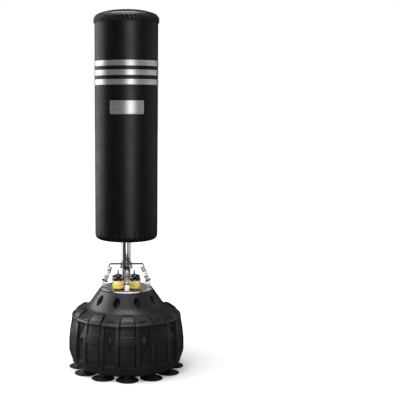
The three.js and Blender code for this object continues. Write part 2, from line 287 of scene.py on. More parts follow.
class Finish:
    """A material whose look comes from nodes. Its textures lie in the object's own metres."""

    def __init__(self, name, color, roughness, metallic=0.0, more=None):
        self.material = bpy.data.materials.new(name)
        self.material.use_nodes = True
        self.tree = self.material.node_tree
        self.shader = self.tree.nodes["Principled BSDF"]
        plain = {"Base Color": (*color, 1), "Roughness": roughness, "Metallic": metallic, **(more or {})}
        for socket, value in plain.items():
            self.shader.inputs[socket].default_value = value
        self.place = self.node("ShaderNodeTexCoord").outputs["Object"]

    def node(self, kind, links=None, values=None, **settings):
        made = self.tree.nodes.new(kind)
        for key, value in settings.items():
            setattr(made, key, value)
        for socket, value in (values or {}).items():
            made.inputs[socket].default_value = value
        for socket, source in (links or {}).items():
            self.tree.links.new(source, made.inputs[socket])
        return made

    def stretched(self, scale):
        """The place, scaled by a different amount along each axis."""
        node = self.node("ShaderNodeMapping", {"Vector": self.place}, {"Scale": scale})
        return node.outputs["Vector"]

    def noise(self, scale, detail, roughness=0.5, stretch=None):
        values = {"Scale": scale, "Detail": detail, "Roughness": roughness}
        where = self.stretched(stretch) if stretch else self.place
        return self.node("ShaderNodeTexNoise", {"Vector": where}, values).outputs["Fac"]

    def cells(self, scale):
        return self.node("ShaderNodeTexVoronoi", {"Vector": self.place}, {"Scale": scale}).outputs["Distance"]

    def ramp(self, source, *stops):
        """A colour ramp. Each stop is a position and a grey or a colour."""
        node = self.node("ShaderNodeValToRGB", {"Fac": source})
        elements = node.color_ramp.elements
        while len(elements) < len(stops):
            elements.new(0.5)
        for element, (position, color) in zip(elements, stops):
            element.position = position
            color = (color,) * 3 if isinstance(color, (int, float)) else color
            element.color = (*color, 1)
        return node.outputs["Color"]

    def times(self, source, factor):
        return self.node("ShaderNodeMath", {0: source}, {1: factor}, operation="MULTIPLY").outputs[0]

    def mix(self, factor, source, color):
        """The source's colour mixed with a plain one, by a factor from a node."""
        plain = {7: (*color, 1)}
        return self.node("ShaderNodeMix", {0: factor, 6: source}, plain, data_type="RGBA").outputs[2]

    def use(self, socket, source):
        self.tree.links.new(source, self.shader.inputs[socket])
        return self

    def color(self, source, *stops):
        self.use("Base Color", self.ramp(source, *stops))

    def gloss(self, source, *stops):
        self.use("Roughness", self.ramp(source, *stops))

    def bump(self, *layers):
        """Bumps on bumps: each layer is a height, a strength and a distance in millimetres."""
        normal = None
        for height, strength, distance in layers:
            links = {"Height": height}
            if normal:
                links["Normal"] = normal
            values = {"Strength": strength, "Distance": distance * MM}
            normal = self.node("ShaderNodeBump", links, values).outputs["Normal"]
        return self.use("Normal", normal)


def moulded_plastic():
    """Black moulded plastic with a fine spark grain, faint mottling and edges painted a little paler, partly
    as rubbed wear and partly as a painted highlight along the ridges.
    """
    finish = Finish("moulded_plastic", (0.022, 0.023, 0.025), 0.36)
    mottle = finish.noise(14, 5, 0.6)
    grain = finish.noise(900, 2)
    color = finish.ramp(mottle, (0.3, (0.019, 0.02, 0.022)), (0.7, (0.026, 0.027, 0.03)))
    # Painted highlight: sharp edges and ridges are painted paler, partly as wear and partly to stand in for
    # the light they catch.
    edge = finish.ramp(finish.node("ShaderNodeNewGeometry").outputs["Pointiness"], (0.51, 0), (0.56, 1))
    wear_and_painted_highlight = finish.times(edge, 0.4)
    finish.use("Base Color", finish.mix(wear_and_painted_highlight, color, (0.085, 0.087, 0.093)))
    finish.gloss(finish.noise(60, 4), (0.3, 0.3), (0.7, 0.43))
    return finish.bump((grain, 0.22, 0.4), (finish.noise(35, 3), 0.12, 1.2)).material


def rubber():
    """Soft black rubber, with a slight bloom and fine grain."""
    finish = Finish("black_rubber", (0.012, 0.012, 0.013), 0.4)
    bloom = finish.noise(40, 4)
    finish.color(bloom, (0.35, (0.009, 0.009, 0.01)), (0.75, (0.017, 0.017, 0.018)))
    finish.gloss(bloom, (0.3, 0.32), (0.7, 0.5))
    return finish.bump((finish.noise(600, 2), 0.1, 0.2)).material


def amber_tpu():
    """Clear amber polyurethane: paler where it is thin, with a wet gloss."""
    depth = {"Subsurface Weight": 0.55, "Subsurface Radius": (1.0, 0.6, 0.12), "Subsurface Scale": 0.012}
    more = {**depth, "Transmission Weight": 0.12, "Coat Weight": 0.4}
    finish = Finish("amber_tpu", (0.95, 0.6, 0.07), 0.16, more=more)
    cloud = finish.noise(45, 3)
    finish.color(cloud, (0.3, (1.0, 0.6, 0.1)), (0.7, (1.0, 0.84, 0.3)))
    return finish.bump((finish.noise(220, 2), 0.06, 0.3)).material


def plated(name, color, roughness, smudge):
    """Polished plating with faint smudges and hairlines."""
    finish = Finish(name, color, roughness, 1.0)
    cloud = finish.noise(30, 4)
    finish.gloss(cloud, (0.35, roughness - smudge), (0.75, roughness + smudge))
    dull = tuple(0.86 * c for c in color)
    finish.color(finish.noise(12, 3), (0.3, dull), (0.6, color))
    return finish.bump((finish.noise(1200, 2, stretch=(1, 1, 0.05)), 0.03, 0.1)).material


def silver_film():
    """Satin silver film with fine level streaks."""
    finish = Finish("silver_film", (0.78, 0.79, 0.81), 0.38, 1.0)
    streak = finish.noise(1, 4, 0.7, stretch=(5, 5, 520))
    finish.color(streak, (0.3, (0.6, 0.61, 0.63)), (0.65, (0.86, 0.87, 0.89)))
    finish.gloss(streak, (0.3, 0.44), (0.7, 0.33))
    return finish.bump((streak, 0.12, 0.25)).material


def leather(name, shade, roughness):
    """Black coated leather: pebbled grain, softly glossy, with slow changes in the gloss."""
    finish = Finish(name, (shade, shade, 1.08 * shade), roughness)
    pebble = finish.cells(750)
    cloud = finish.noise(6, 3)
    finish.color(cloud, (0.3, 0.8 * shade), (0.7, 1.3 * shade))
    finish.gloss(finish.noise(18, 4), (0.3, roughness - 0.04), (0.7, roughness + 0.06))
    return finish.bump((pebble, 0.16, 0.35), (finish.noise(90, 3), 0.08, 0.5)).material


def plain_plastic():
    finish = Finish("white_plastic", (0.62, 0.62, 0.6), 0.45)
    finish.color(finish.noise(20, 3), (0.3, (0.56, 0.56, 0.54)), (0.7, (0.66, 0.66, 0.64)))
    return finish.bump((finish.noise(500, 2), 0.08, 0.2)).material


def plywood():
    """Birch ply, with its grain along X."""
    finish = Finish("plywood", (0.55, 0.38, 0.2), 0.6)
    grain = finish.noise(1, 5, 0.6, stretch=(6, 90, 300))
    finish.color(grain, (0.3, (0.42, 0.27, 0.13)), (0.7, (0.64, 0.46, 0.27)))
    return finish.bump((grain, 0.2, 0.4)).material


def foam():
    finish = Finish("foam", (0.4, 0.41, 0.43), 0.9)
    pores = finish.cells(500)
    finish.color(pores, (0.1, (0.28, 0.29, 0.31)), (0.6, (0.46, 0.47, 0.5)))
    return finish.bump((pores, 0.5, 1)).material


def textile():
    """Shredded textile fill: many colours of rag, pressed together."""
    finish = Finish("textile_fill", (0.2, 0.19, 0.17), 0.95)
    rags = finish.cells(60)
    finish.color(rags, (0.1, (0.1, 0.11, 0.13)), (0.4, (0.24, 0.2, 0.16)), (0.8, (0.36, 0.35, 0.33)))
    return finish.bump((rags, 0.5, 3)).material


def water():
    more = {"Transmission Weight": 0.9, "IOR": 1.33}
    finish = Finish("ballast_water", (0.6, 0.75, 0.82), 0.05, more=more)
    finish.color(finish.noise(8, 2), (0.3, (0.5, 0.68, 0.76)), (0.7, (0.66, 0.8, 0.86)))
    return finish.bump((finish.noise(12, 2), 0.1, 2)).material


MATERIALS = {
    "moulded_plastic": moulded_plastic(),
    "ballast_water": water(),
    "black_rubber": rubber(),
    "amber_tpu": amber_tpu(),
    "chrome": plated("chrome", (0.86, 0.87, 0.89), 0.09, 0.04),
    "satin_plating": plated("satin_plating", (0.74, 0.74, 0.76), 0.27, 0.06),
    "bracket_plating": plated("bracket_plating", (0.6, 0.6, 0.63), 0.3, 0.06),
    "coil_plating": plated("coil_plating", (0.82, 0.82, 0.84), 0.28, 0.06),
    "dark_chrome": plated("dark_chrome", (0.24, 0.215, 0.28), 0.12, 0.04),
    "black_oxide": plated("black_oxide", (0.1, 0.1, 0.104), 0.24, 0.05),
    "spring_steel": plated("spring_steel", (0.5, 0.49, 0.48), 0.3, 0.08),
    "white_plastic": plain_plastic(),
    "plywood": plywood(),
    "foam": foam(),
    "textile_fill": textile(),
    "bag_leather": leather("bag_leather", 0.005, 0.4),
    # Painted light: the rim's leather is the bag's black leather painted about three times paler so the laced
    # rim looks more lit; the back seam strip takes it too.
    "rim_leather_painted_paler": leather("rim_leather_painted_paler", 0.016, 0.42),
    "dome_leather": leather("dome_leather", 0.006, 0.26),
    "seam_thread": leather("seam_thread", 0.06, 0.6),
    "silver_film": silver_film(),
}
SLOT_OF_NODE = {s["node"]: s["material_slot"] for s in frame["record"]["subparts"]}

# Every CAD node takes its slot's material, so none is left plain.
for name, node in frame["nodes"].items():
    node.data.materials.clear()
    node.data.materials.append(MATERIALS[SLOT_OF_NODE[name]])
    node.data.polygons.foreach_set("material_index", [0] * len(node.data.polygons))

# ---- Base ----
HALF_PANEL = 180 / PANELS  # degrees from the middle of a panel to the middle of the next channel
BASE_OUTLINE = [
    (254, 22), (264, 30), (270, 46), (278, 75), (284.6, 93), (284.6, 152),
    (280, 198), (275, 228), (270.5, 254), (270.5, 263), (268.5, 272), (260, 276.5),
    (196, 310), (180, 327), (134, 392.7),
]
LIP = (260, 276.5)
CHANNELS = [FRONT + math.radians((2 * k + 1) * HALF_PANEL) for k in range(PANELS)]
# Degrees from the middle of a panel, or for CHANNEL_EDGE of a channel.
PANEL_EDGE = 6.8
PANEL_GROOVE = 7.65
BLOCK_GROOVE = 7.8
NARROWING_EDGE = 9.4
CHANNEL_EDGE = 5.65
# Heights at which parts of the relief start, are full, begin to fade and end.
DRUM = (48, 92, 257, 266)
LOW_PANEL = (58, 84, 172.5, 175)
HIGH_PANEL = (218.5, 221, 262, 268)
GROOVES = (60, 63, 277, 279)
FOOT_LINE = (44, 50, 56, 60)
# Where the pits of each channel lie on the skin: radius, height and degrees of lean.
POCKET = (160.5, 354, 35.3)
SCOOP = (255.5, 279, 62.4)
DIAMOND = (266.2, 191, 3)
# The base's columns in degrees from a panel's middle, close together where the relief has edges.
RELIEF_TURNS = (
    [0, 1.2, 2.4, 3.6, 4.8, 5.8, 6.3, 6.6, 6.8, 7, 7.2, 7.5, 7.8, 8.1, 8.4, 8.7, 9.4, 10.4, 11.2]
    + [11.7, 12, 12.3, 12.6, 12.9, 13.5, 14.2, 15, 15.8, 16.6, 17.4, 18]
)


def base_rows():
    """The heights of the base's rows and their radii."""
    bands = [(22, 60, 3), (60, 176, 6), (176, 236, 3), (236, 262, 4)]
    bands += [(262, 278, 1.3), (278, 316, 1.6), (316, 392, 4)]
    edges = [57.5, 60.5, 63, 172.5, 174, 175.5, 218.5, 220, 221.5, 392.7]
    heights = np.unique(np.concatenate([np.arange(*band) for band in bands] + [edges]))
    smooth = np.array(rounded(BASE_OUTLINE, 9, steps=5))
    return heights, np.interp(heights, smooth[:, 1], smooth[:, 0])


def groove(from_panel, middle):
    """The share of a groove's depth, at a turn from the panel's middle."""
    return np.clip(1.9 - np.abs(from_panel - middle) / 0.45, 0, 1)


def drum_relief(z, from_panel, from_channel):
    """Panels, ribs and channels round the drum."""
    floor = 1 - step(from_channel, CHANNEL_EDGE, CHANNEL_EDGE + 0.4)
    relief = (np.clip((z - 205) / 6, 0, 9) - 15) * floor * plateau(z, *DRUM)
    panel = 1 - step(from_panel, PANEL_EDGE, PANEL_EDGE + 0.2)
    low_panel = plateau(z, *LOW_PANEL)
    high_panel = plateau(z, *HIGH_PANEL)
    relief = relief - panel * (5 * low_panel + 3.5 * high_panel)
    depth = 10 * low_panel + 7 * high_panel + 6 * plateau(z, *GROOVES)
    return relief - groove(from_panel, PANEL_GROOVE) * depth


def foot_relief(z, r, from_panel, from_channel):
    """Flats round the bottom edge, a wide one under each panel and a narrower one under each channel."""
    wide, narrow = math.radians(10), math.radians(8)
    panel_cut = 1 - math.cos(wide) / np.cos(np.minimum(np.radians(from_panel), wide))
    channel_cut = 1 - math.cos(narrow) / np.cos(np.minimum(np.radians(from_channel), narrow))
    cut_share = np.where(from_panel < 10, panel_cut, channel_cut)
    return -r * cut_share * (1 - step(z, 52, 66)) - 1.5 * plateau(z, *FOOT_LINE)


def shoulder_relief(z, r, from_panel):
    """A tread block on the shoulder over each panel, with a groove at each side."""
    from_lip = np.hypot(r - LIP[0], z - LIP[1]) * (z > LIP[1])
    on_shoulder = (z > 272) & (z < 322)
    height = np.interp(from_lip, [0, 5, 17, 40, 43, 56, 68], [0, 3.5, 8.5, 11.5, 10.5, 3.5, 0])
    block = 1 - step(from_panel, PANEL_EDGE, PANEL_EDGE + 0.4)
    beside = groove(from_panel, BLOCK_GROOVE) * step(z, 272, 277) * (1 - step(from_lip, 52, 62))
    return np.where(on_shoulder, block * height - 8 * beside, 0)


def narrowed(from_panel, z):
    """The turn of each column from its panel's middle: the tread blocks narrow as they climb the shoulder."""
    edge = NARROWING_EDGE
    share = 1 - 0.2 * step(z, 277, 314)
    far = HALF_PANEL - (HALF_PANEL - from_panel) / (HALF_PANEL - edge) * (HALF_PANEL - edge * share)
    return np.where(from_panel <= edge, from_panel * share, far)


def base_skin():
    """The base's outline swept round, with its relief raised square to the outline."""
    heights, radii = base_rows()
    slope = np.stack([np.gradient(heights), -np.gradient(radii)], 1)
    slope /= np.linalg.norm(slope, axis=1)[:, None]
    half = np.array(RELIEF_TURNS)
    period = np.concatenate([-half[:0:-1], half[:-1]])
    side = np.tile(np.sign(period), PANELS)[None, :]
    middle = np.repeat(2 * HALF_PANEL * np.arange(PANELS), len(period))[None, :]
    from_panel = np.tile(np.abs(period), PANELS)[None, :]
    z, r = heights[:, None], radii[:, None]
    from_channel = HALF_PANEL - from_panel
    relief = drum_relief(z, from_panel, from_channel) + foot_relief(z, r, from_panel, from_channel)
    relief = relief + shoulder_relief(z, r, from_panel)
    angles = np.radians(middle + side * narrowed(from_panel, z)) + FRONT
    out = r + relief * slope[:, :1]
    up = z + relief * slope[:, 1:]
    grid = np.stack([out * np.cos(angles), out * np.sin(angles), up], 2)
    return closed(grid.reshape(-1, 3).tolist(), grid.shape[1])


def stack(outline, layers):
    """A closed solid from a flat outline, scaled by a share and lifted to a height at each layer."""
    points = [(x * share, y * share, height) for height, share in layers for x, y in outline]
    return closed(points, len(outline))


def on_slope(angle, r, z, lean):
    """A frame on the base's skin: X runs round, Y up the slope and Z out, leaning in degrees from level."""
    turned = spin(angle, r, z) @ Matrix.Rotation(math.pi / 2 - math.radians(lean), 4, "Y")
    return turned @ Matrix.Rotation(math.pi / 2, 4, "Z")


def base_pits():
    """A pocket, a scoop behind the lip and a moat over each channel, and the filler's mouth at the back."""
    turns = np.linspace(0, TURN, 48, endpoint=False)
    curve = [(math.copysign(abs(math.cos(t)) ** 1.2, math.cos(t)), math.sin(t)) for t in turns]
    oval = [(18.5 * x, 29 * math.copysign(abs(y) ** 1.2, y)) for x, y in curve]
    half_oval = [(29 * math.cos(t), 15.5 * math.sin(t)) for t in np.linspace(0, math.pi, 25)]
    diamond = [(21.5, 0), (0, 54), (-21.5, 0), (0, -54)]
    pocket_cut = stack(oval, [(-31, 0.3), (-28, 0.5), (-14, 0.8), (-1.2, 0.97), (0.4, 1.03), (9, 1.1)])
    scoop_cut = stack(half_oval, [(-9.5, 0.45), (-7.5, 0.75), (-1, 0.98), (0.6, 1.03), (7, 1.08)])
    diamond_cut = stack(diamond, [(-8, 0.93), (-6, 0.97), (0, 1), (8, 1.03)])
    pits = [
        moved(pit, on_slope(angle, *spot))
        for angle in CHANNELS
        for pit, spot in ((pocket_cut, POCKET), (scoop_cut, SCOOP), (diamond_cut, DIAMOND))
    ]
    return together(*pits, moved(filler_mouth(), filler_frame()))


def base_diamonds():
    """A long pyramid on the floor of each channel."""
    outline = [(16, 0), (0, 43), (-16, 0), (0, -43)]
    pyramid = stack(outline, [(-10, 1.0), (-5, 1.0), (12, 0.02)])
    return together(*(moved(pyramid, on_slope(angle, *DIAMOND)) for angle in CHANNELS))


def cut(piece, cutter):
    """Takes the cutter's solids away from the piece, and removes the cutter."""
    modifier = piece.modifiers.new("cut", "BOOLEAN")
    modifier.operation = "DIFFERENCE"
    modifier.solver = "MANIFOLD"
    modifier.object = cutter
    with bpy.context.temp_override(object=piece, active_object=piece):
        bpy.ops.object.modifier_apply(modifier=modifier.name)
    bpy.data.objects.remove(cutter)


def filler_frame():
    """Where the filler stands: square to the neck, at the back."""
    lean = Matrix.Rotation(FILLER["tilt"], 4, "Y")
    return Matrix.Rotation(math.pi / 2, 4, "Z") @ Matrix.Translation((FILLER["r"], 0, FILLER["z"])) @ lean


def filler_mouth():
    """The hole in the neck, with a flat seat round it."""
    return revolve([(0, -20), (22, -20), (22, 5.6), (32, 5.6), (32, 25), (0, 25)], 72)


def filler_cap():
    """A screw cap with a knurled rim and a bar to grip."""
    outline = [(0, -7), (21, -7), (21, 9.4), (29.4, 9.4), (29.4, 15), (24, 15.6), (0, 15.6)]
    points, faces = revolve(rounded(outline, 1.2), 120)
    knurled = []
    for x, y, z in points:
        r, angle = math.hypot(x, y), math.atan2(y, x)
        shrink = 1 - 0.6 / max(r, 1) * (math.sin(36 * angle) < 0) * (r > 28.5) * (10 < z < 14.6)
        knurled.append((x * shrink, y * shrink, z))
    half_bar = [(-6, 13), (6, 13), (5, 22), (-5, 22)]
    grip = bar(rounded(half_bar, 1.8, ring=True), 50, 1.2)
    return together((knurled, faces), grip)


base_shell = make("base_shell_skin", base_skin(), "moulded_plastic", 28)
cut(base_shell, make("base_pits", base_pits(), "moulded_plastic"))
base_shell.data.set_sharp_from_angle(angle=math.radians(28))
place(base_shell, "base", "moulded_plastic", "base_shell")
add("base_channel_diamonds", base_diamonds(), "moulded_plastic", "base", "moulded_plastic", sharp=20)

neck_outline = rounded([(22, -14), (31, -14), (31, 4.8), (29.5, 6), (22.6, 6), (22, 5)], 1, ring=True)
neck_ring = moved(revolve(neck_outline, 72, ring=True), filler_frame())
add("filler_neck", neck_ring, "moulded_plastic", "base", "moulded_plastic")

gasket_ring = moved(revolve(tube_ring(22.5, 29, 6.3, 9, 1.1), 72, ring=True), filler_frame())
add("filler_gasket_ring", gasket_ring, "black_rubber", "filler_seal", "black_rubber", "filler_gasket")

cap = moved(filler_cap(), filler_frame())
add("filler_screw_cap", cap, "moulded_plastic", "filler_cap", "moulded_plastic", "filler_cap")

CUP_OUTLINE = [
    (0, 9.5), (18, 8.5), (34, 5), (47, 0.4), (54.4, 0), (55, 1),
    (54.2, 3.2), (47, 5.4), (38, 8.5), (28, 13.5), (21, 17.5), (19.5, 21.7),
    (8, 21.7), (8, 37.5), (0, 37.5),
]
cup = revolve(rounded(CUP_OUTLINE, 3, steps=3), 64)
for i in range(CUPS):
    name = f"suction_cup_{i + 1:02d}"
    placed_cup = moved(cup, spin(FRONT + i * TURN / CUPS, CUP_RING))
    add(f"{name}_rubber", placed_cup, "black_rubber", "base", "black_rubber", name)

PLATE_OUTLINE = [
    (0, 393), (125.5, 393), (128, 395), (128, 401.5), (126.3, 403.5), (124, 403),
    (121.5, 399.6), (119, 399), (0, 399),
]
plate = revolve(rounded(PLATE_OUTLINE, 1.4), 160)
add("base_plate_dish", plate, "satin_plating", "base", "chrome", "base_plate")


# ---- Sprung head ----
# The halves of each buffer and spring: name, start and end as shares, and the bodies there.
HALVES = (("lower", 0, 0.5, "base", "spring_pack"), ("upper", 0.5, 1, "spring_pack", "bag"))


def make_buffer(number, angle):
    """A TPU block, split at its middle, where the two tilts meet. It stands on a dark washer."""
    r = BUFFER_RADIUS
    middle = (BUFFER_FOOT + BUFFER_TOP) / 2
    low, high = BUFFER_FOOT + 6, BUFFER_TOP
    spot = spin(angle, BUFFER_RING)
    where = spot @ Vector((0, 0, 0))
    lower = rounded([(0, low), (r - 2.5, low), (r - 0.6, low + 5), (r, middle)], 3) + [(0, middle)]
    upper = [(0, middle)] + rounded([(r, middle), (r - 0.6, high - 5), (r - 2.5, high), (0, high)], 3)
    for outline, (half, start, end, first, second) in zip((lower, upper), HALVES):
        part = moved(revolve(outline, 72), spot)
        piece = make(f"tpu_buffer_{number}_{half}", part, "amber_tpu", 50)
        ends = [(where.x, where.y, BUFFER_FOOT + t * (BUFFER_TOP - BUFFER_FOOT)) for t in (start, end)]
        stretch(piece, "amber_tpu", f"tpu_buffer_{number}", first, second, *ends)
    washer = revolve(rounded([(0, BUFFER_FOOT), (20, BUFFER_FOOT), (20, low - 0.2), (0, low - 0.2)], 1), 48)
    add(f"buffer_foot_{number}", moved(washer, spot), "dark_chrome", "base", "dark_chrome")


CAP_OUTLINE = [
    (0, 450.3), (28.8, 450.3), (29.2, 451.8), (27.5, 453.2), (19, 455), (11, 457),
    (7, 459.5), (4.8, 463.5), (4, 469), (4, 478.5), (0, 480.3),
]


def make_head_plate():
    """A hub with a round lobe over each buffer."""
    angles = np.linspace(0, TURN, 360, endpoint=False)
    reach = np.full(360, 46.0)
    lobe = BUFFER_RADIUS + 0.5
    for k in range(4):
        turn = np.abs((angles - TURN / 8 - k * TURN / 4 + math.pi) % TURN - math.pi)
        aside = BUFFER_RING * np.sin(turn)
        hit = (aside < lobe) & (turn < math.pi / 2)
        far = BUFFER_RING * np.cos(turn) + np.sqrt(np.maximum(lobe**2 - aside**2, 0))
        reach = np.where(hit, np.maximum(reach, far), reach)
    outline = np.stack([reach * np.cos(angles), reach * np.sin(angles)], 1)
    part = extrude(outline, BUFFER_TOP + 0.3, HEAD_TOP, 1.2)
    add("head_plate_lobed", part, "dark_chrome", "bag", "dark_chrome", "head_plate")


def make_spider():
    """The collar round the post, with four arms that hold the springs' tops, and dark lugs at their roots."""
    slope = math.tan(SPRING_TILT)
    seat_height = SPRING_TOP[1] + (88 - SPRING_TOP[0]) * slope
    seat_start = SPRING_TOP[0] - (SPRING_TOP[1] - 499) / slope
    outline = [(28, 499), (seat_start, 499), (88, seat_height), (82, 519), (28, 519)]
    arm = bar(rounded(outline, 5, ring=True), 26, 1.2)
    ring = tube_ring(24.3, 29.4, 497, 515.8, 1.3)
    lug = bar(tube_ring(26, 32.5, 496.5, 521, 1.5), 24, 1.2)
    turns = [spin(FRONT + k * TURN / 4) for k in range(4)]
    arms = together(revolve(ring, 96, ring=True), *(moved(arm, turn) for turn in turns))
    add("spring_spider_arms", arms, "chrome", "bag", "chrome", "spring_spider")
    strip = [(30, 515.6), (80, 515.6), (84.4, 505), (88.2, seat_height + 1), (82.4, 519.3), (30, 519.3)]
    edge = bar(rounded(strip, 3, ring=True), 26.6, 0.5)
    lugs = together(*(moved(part, turn) for turn in turns for part in (lug, edge)))
    add("spring_spider_lugs", lugs, "black_oxide", "bag", "dark_chrome", "spring_spider")


def spring_frame(angle):
    """The frame of a leaning spring, with its foot at the origin and its length along Z."""
    return spin(angle, *SPRING_FOOT) @ Matrix.Rotation(-SPRING_TILT, 4, "Y")


def spring_wire(start, end, steps):
    """Part of a spring's wire, from one share of its length to another. The end turns lie closer together."""
    from_end, closing = 6.4, 0.055
    points = []
    for t in np.linspace(start, end, steps):
        rise = t + closing * math.sin(2 * TURN * t) / 2
        turn = t * (SPRING_TURNS + 1) * TURN
        z = from_end + (SPRING_LENGTH - 2 * from_end) * rise
        points.append((SPRING_COIL * math.cos(turn), SPRING_COIL * math.sin(turn), z))
    return tube(points, SPRING_WIRE, 10)


def make_spring(number, angle):
    """A spring's wire, in two halves that meet where the two tilts do."""
    lean, from_end = spring_frame(angle), 4
    for half, start, end, first, second in HALVES:
        part = moved(spring_wire(start, end, 150), lean)
        piece = make(f"coil_spring_{number}_{half}", part, "coil_plating", 60)
        heights = [from_end + t * (SPRING_LENGTH - 2 * from_end) for t in (start, end)]
        ends = [lean @ Vector((0, 0, z)) for z in heights]
        stretch(piece, "chrome", f"coil_spring_{number}", first, second, *ends)


def make_spring_ends(number, angle):
    """The bracket of a spring, and its two seats, each a washer and a spigot that stands in the spring."""
    slope = math.tan(SPRING_TILT)
    inner, outer, thick, foot = 96, 119.5, 4, PLATE_FLOOR + 0.3

    def top(r):
        return SPRING_FOOT[1] + (r - SPRING_FOOT[0]) * slope - 0.3

    outside = [(inner, foot), (outer, foot), (outer, top(outer)), (inner, top(inner))]
    back = outer - thick
    inside = [(inner, top(inner) - thick), (back, top(back) - thick)]
    inside += [(back, foot + thick), (inner, foot + thick)]
    web = [(inner + 4, foot + 1), (outer - 1, foot + 1)]
    web += [(outer - 1, top(outer) - 2), (inner + 4, top(inner + 4) - 2)]
    part = together(bar(rounded(outside + inside, 2.2, ring=True), 22, 0.9), bar(web, 3, 0.2))
    bracket = moved(part, spin(angle))
    name = f"spring_bracket_{number}"
    add(f"{name}_bent", bracket, "bracket_plating", "base", "chrome", name)
    lean = spring_frame(angle)
    flip = lean @ Matrix.Translation((0, 0, SPRING_LENGTH)) @ Matrix.Rotation(math.pi, 4, "X")
    for end, body, radius, where in (("lower", "base", 18, lean), ("upper", "bag", 12.5, flip)):
        washer = revolve(rounded([(0, 0.3), (radius, 0.3), (radius, 3.1), (0, 3.1)], 0.8), 48)
        spigot = revolve(rounded([(0, 3.1), (7.2, 3.1), (7.2, 24), (4, 27), (0, 27)], 0.8), 40)
        node = f"{end}_spring_seat_{number}"
        add(f"{node}_washer", moved(washer, where), "black_oxide", body, "dark_chrome", node)
        add(f"{node}_spigot", moved(spigot, where), "coil_plating", body, "dark_chrome", node)


make_head_plate()
make_spider()
cap_dish = revolve(rounded(CAP_OUTLINE, 1.2), 64)
for i in range(4):
    square = FRONT + i * TURN / 4
    diagonal = square + TURN / 8
    make_buffer(i + 1, diagonal)
    name = f"buffer_cap_{i + 1}"
    placed_dish = moved(cap_dish, spin(diagonal, BUFFER_RING))
    add(f"{name}_dish", placed_dish, "dark_chrome", "bag", "dark_chrome", name)
    make_spring(i + 1, square)
    make_spring_ends(i + 1, square)

# ---- Post, pole and lock ----
post = revolve(tube_ring(21, POST_RADIUS, 450.3, 760, 0.6), 96, ring=True)
add("inner_post_tube", post, "chrome", "bag", "chrome", "inner_post")
pole = revolve(tube_ring(24.3, POLE_RADIUS, 516.3, 1690, 0.5), 128, ring=True)
add("pole_tube_plated", pole, "chrome", "bag", "chrome", "pole_tube")


def lock_button():
    """A domed pin through the front of the pole, with a flange inside the post."""
    outline = [(0, 17.2), (7.5, 17.2), (7.5, 19.2), (4.7, 19.2), (4.7, 27.4), (3, 28.6), (0, 28.7)]
    aim = Matrix.Translation((0, 0, BUTTON_HEIGHT)) @ Matrix.Rotation(math.pi / 2, 4, "X")
    return moved(revolve(rounded(outline, 0.8), 48), aim)


add("lock_button_pin", lock_button(), "chrome", "lock_button", "chrome", "lock_button")


def button_leg(tip, inner_tip):
    """One leg of the flat hairpin spring behind the button. The tips are how far out its end reaches."""
    low, high = BUTTON_HEIGHT - 46, BUTTON_HEIGHT + 9
    foot = math.copysign(1, tip)
    shares = np.linspace(0, 1, 16)
    outside = [(foot + (tip - foot) * t, low + (high - low) * t) for t in shares]
    inside = [(inner_tip * t, low + 2.5 + (high - low - 2.5) * t) for t in shares[::-1]]
    outline = [(0, low)] + outside + inside
    if tip < 0:
        outline.reverse()
    across = Matrix(((0, 0, 1, 0), (1, 0, 0, 0), (0, 1, 0, 0), (0, 0, 0, 1)))
    return moved(stack(outline, [(-5.5, 1), (5.5, 1)]), across)


add("button_spring_back", button_leg(19, 17.8), "spring_steel", "bag", "spring_steel", "button_spring")
front_leg = make("button_spring_front", button_leg(-16.8, -15.6), "spring_steel")
leg_start, leg_end = (0, 0, BUTTON_HEIGHT - 43), (0, -11, BUTTON_HEIGHT - 8)
stretch(front_leg, "spring_steel", "button_spring", "bag", "lock_button", leg_start, leg_end)

# ---- Bag ----
BAG_SEGMENTS = 300


def wavy(angle, seed, waves):
    """A random wave round the bag, from -1 to 1 or so."""
    draw = np.random.default_rng(seed)
    total = 0
    for k in waves:
        total = total + draw.uniform(0.5, 1) * np.sin(k * angle + draw.uniform(0, TURN))
    return total / math.sqrt(len(waves))


def reshape(part, change):
    """The part with each point's angle, radius and height passed through change, which gives a new radius."""
    points, faces = part
    points = np.array(points, float)
    angle = np.arctan2(points[:, 1], points[:, 0])
    radius = np.hypot(points[:, 0], points[:, 1])
    scale = change(angle, radius, points[:, 2]) / np.maximum(radius, 1e-6)
    points[:, 0] *= scale
    points[:, 1] *= scale
    return points.tolist(), faces


def cover_change(angle, radius, z):
    """Puckers where the leather is pulled round the bottom edge, and slight hollows higher up."""
    outside = radius > 40
    low = np.exp(-(((z - 672) / 24) ** 2))
    pucker = np.clip(wavy(angle, 3, (23, 31, 41, 53)), 0, 2) ** 1.5
    hollow = 0.25 * (1 + wavy(angle + z / 400, 5, (3, 5, 8)))
    calm = 1 - step(z, 1150, 1230)
    return radius - outside * (1.6 * low * pucker + hollow * calm)


def cover_outline():
    """The cover's section: up the outside, over its top edge and down the inside."""
    middle = BAG_RADIUS - BAG_CORNER
    shell = BAG_CORNER - 2.5
    outside, inside = [], []
    for t in np.linspace(0, math.pi / 2, 10):
        outside.append((middle + BAG_CORNER * math.sin(t), BAG_BOTTOM + BAG_CORNER * (1 - math.cos(t))))
        inside.append((middle + shell * math.sin(t), BAG_BOTTOM + BAG_CORNER - shell * math.cos(t)))
    floor = [(r, BAG_BOTTOM) for r in (26.6, 50, 75, 100)]
    side = [(BAG_RADIUS, z) for z in (*np.arange(674, 760, 6), *np.arange(760, 1680, 40), 1690, COVER_TOP)]
    return [*floor, *outside, *side, (150.5, COVER_TOP), *reversed(inside), (26.6, BAG_BOTTOM + 2.5)]


cover_part = reshape(revolve(cover_outline(), BAG_SEGMENTS, ring=True), cover_change)
cover = add("bag_cover_leather", cover_part, "bag_leather", "bag", "bag_leather", "bag_cover", sharp=60)

SEAM_STITCH = 8.6


